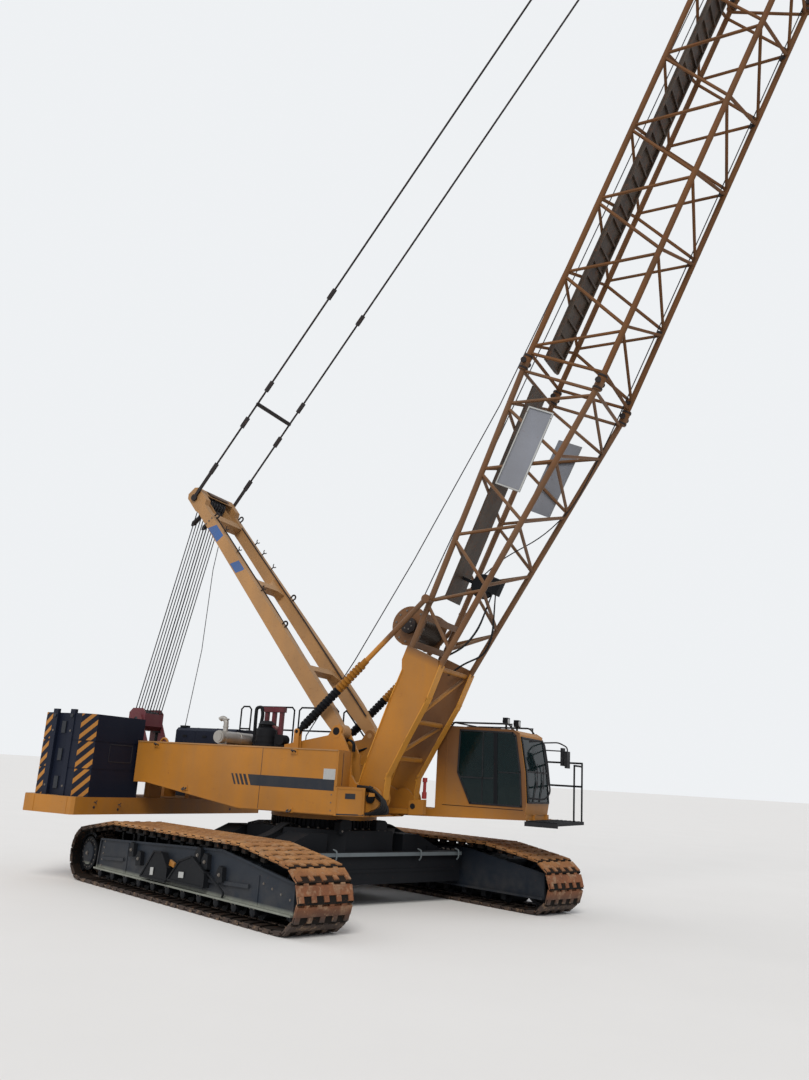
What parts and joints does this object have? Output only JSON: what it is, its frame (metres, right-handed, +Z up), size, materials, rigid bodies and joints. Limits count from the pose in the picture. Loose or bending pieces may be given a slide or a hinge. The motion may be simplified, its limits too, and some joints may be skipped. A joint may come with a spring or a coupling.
{
  "type": "crawler crane",
  "caption": "Crawler crane: tracked undercarriage, slewing upper works with cab and counterweights, lattice boom held by a mast and pendants, and a hook block on rope falls.",
  "frame": {"origin": "on the swing axis, at the height of the ground under the track shoes", "axes": "+X from the swing axis towards the boom's side, level; +Y to the cab's side of the machine; +Z up"},
  "size_m": [20.9894, 8.548, 32.7588],
  "materials": {
    "yellow_paint": "satin",
    "lattice_paint": "weathered",
    "navy_paint": "satin",
    "frame_paint": "satin",
    "shoe_steel": "rusty",
    "black_paint": "satin",
    "maroon_paint": "satin",
    "mast_paint": "faded",
    "silver_sheet": "brushed",
    "rope_steel": "greasy",
    "engine_casting": "rough",
    "cab_plastic": "matte",
    "window_glass": "tinted",
    "sign_sheet": "satin"
  },
  "bodies": {
    "undercarriage": {"carbody": "black_paint", "slew_ring": "black_paint", "track_frame_right": "frame_paint", "track_frame_left": "frame_paint", "track_right": "shoe_steel", "track_left": "shoe_steel", "rollers_right": "black_paint", "rollers_left": "black_paint", "idlers": "frame_paint", "sprockets": "shoe_steel", "travel_drives": "black_paint"},
    "upper_works": {"main_frame": "yellow_paint", "side_body_right": "yellow_paint", "side_body_left": "yellow_paint", "engine_hood": "navy_paint", "engine": "engine_casting", "counterweight_tray": "yellow_paint", "counterweight_right": "navy_paint", "counterweight_left": "navy_paint", "rear_gantry": "maroon_paint", "deck_winches": "rope_steel", "muffler": "silver_sheet", "air_cleaner": "black_paint", "rope_guide_frame": "maroon_paint", "deck_rails": "black_paint", "cab_shell": "yellow_paint", "cab_glass": "window_glass", "cab_interior": "cab_plastic", "cab_platform": "yellow_paint", "cab_rails": "black_paint", "cab_mirrors": "cab_plastic"},
    "cab_door": {"cab_door": "yellow_paint", "cab_door_glass": "window_glass"},
    "boom": {"boom_base": "yellow_paint", "boom_insert_lower": "lattice_paint", "boom_insert_upper": "lattice_paint", "boom_top": "lattice_paint", "head_sheaves": "maroon_paint", "boom_walkway": "lattice_paint", "boom_signs": "sign_sheet", "boom_cable_reel": "black_paint", "hoist_winch": "yellow_paint"},
    "mast": {"mast": "mast_paint"},
    "pendants": {"pendants": "lattice_paint"},
    "luffing_ropes_lower": {"luffing_ropes_lower": "rope_steel", "rear_rope_block": "maroon_paint"},
    "luffing_ropes_upper": {"luffing_ropes_upper": "rope_steel"},
    "backstop_tubes": {"backstop_tubes": "black_paint"},
    "backstop_rods": {"backstop_rods": "yellow_paint"},
    "hook_block": {"hoist_falls": "rope_steel", "hook_block": "yellow_paint"},
    "hook": {"hook": "black_paint"}
  },
  "joints": [
    {"name": "swing", "type": "hinge", "parent": "undercarriage", "child": "upper_works", "pos_m": [0, 0, 1.41], "axis": [0, 0, 1], "continuous": true},
    {"name": "boom_luff", "type": "hinge", "parent": "upper_works", "child": "boom", "pos_m": [1.43, 0, 1.83], "axis": [0, -1, 0], "range_deg": [-36, 14]},
    {"name": "mast_luff", "type": "hinge", "parent": "upper_works", "child": "mast", "pos_m": [0.62, 0, 2.97], "axis": [0, -1, 0], "range_deg": [-44.38, 17.57]},
    {"name": "pendant_pin", "type": "hinge", "parent": "boom", "child": "pendants", "pos_m": [14.37552, 0, 32.62713], "axis": [0, -1, 0], "range_deg": [-0.62, 0.82]},
    {"name": "lower_rope_swing", "type": "hinge", "parent": "upper_works", "child": "luffing_ropes_lower", "pos_m": [-4.75, 0, 3.11], "axis": [0, -1, 0], "range_deg": [-30.78, 12.27]},
    {"name": "upper_rope_swing", "type": "hinge", "parent": "mast", "child": "luffing_ropes_upper", "pos_m": [-3.61003, 0, 7.90526], "axis": [0, -1, 0], "range_deg": [-5.79, 14.11]},
    {"name": "backstop_swing", "type": "hinge", "parent": "upper_works", "child": "backstop_tubes", "pos_m": [-0.15, 0, 2.93], "axis": [0, -1, 0], "range_deg": [-30.2, 12.05]},
    {"name": "backstop_slide", "type": "slide", "parent": "backstop_tubes", "child": "backstop_rods", "axis": [0.7171, 0, 0.697], "range_m": [-0.441, 1.118]},
    {"name": "hook_block_swing", "type": "hinge", "parent": "boom", "child": "hook_block", "pos_m": [15.63947, 0, 32.39278], "axis": [0, -1, 0], "range_deg": [-14.5, 36.5]},
    {"name": "hook_swivel", "type": "hinge", "parent": "hook_block", "child": "hook", "pos_m": [15.6395, 0, 29.6928], "axis": [0, 0, 1], "continuous": true},
    {"name": "cab_door_slide", "type": "slide", "parent": "upper_works", "child": "cab_door", "axis": [-1, 0, 0], "range_m": [0, 0.56]}
  ],
  "couplings": [
    {"joint": "mast_luff", "follows": "boom_luff", "ratio": 1.219},
    {"joint": "pendant_pin", "follows": "boom_luff", "ratio": -0.0088},
    {"joint": "lower_rope_swing", "follows": "boom_luff", "ratio": 0.841},
    {"joint": "upper_rope_swing", "follows": "boom_luff", "ratio": -0.378},
    {"joint": "backstop_swing", "follows": "boom_luff", "ratio": 0.825},
    {"joint": "backstop_slide", "follows": "boom_luff", "m_per_rad": -1.763},
    {"joint": "hook_block_swing", "follows": "boom_luff", "ratio": -1}
  ]
}
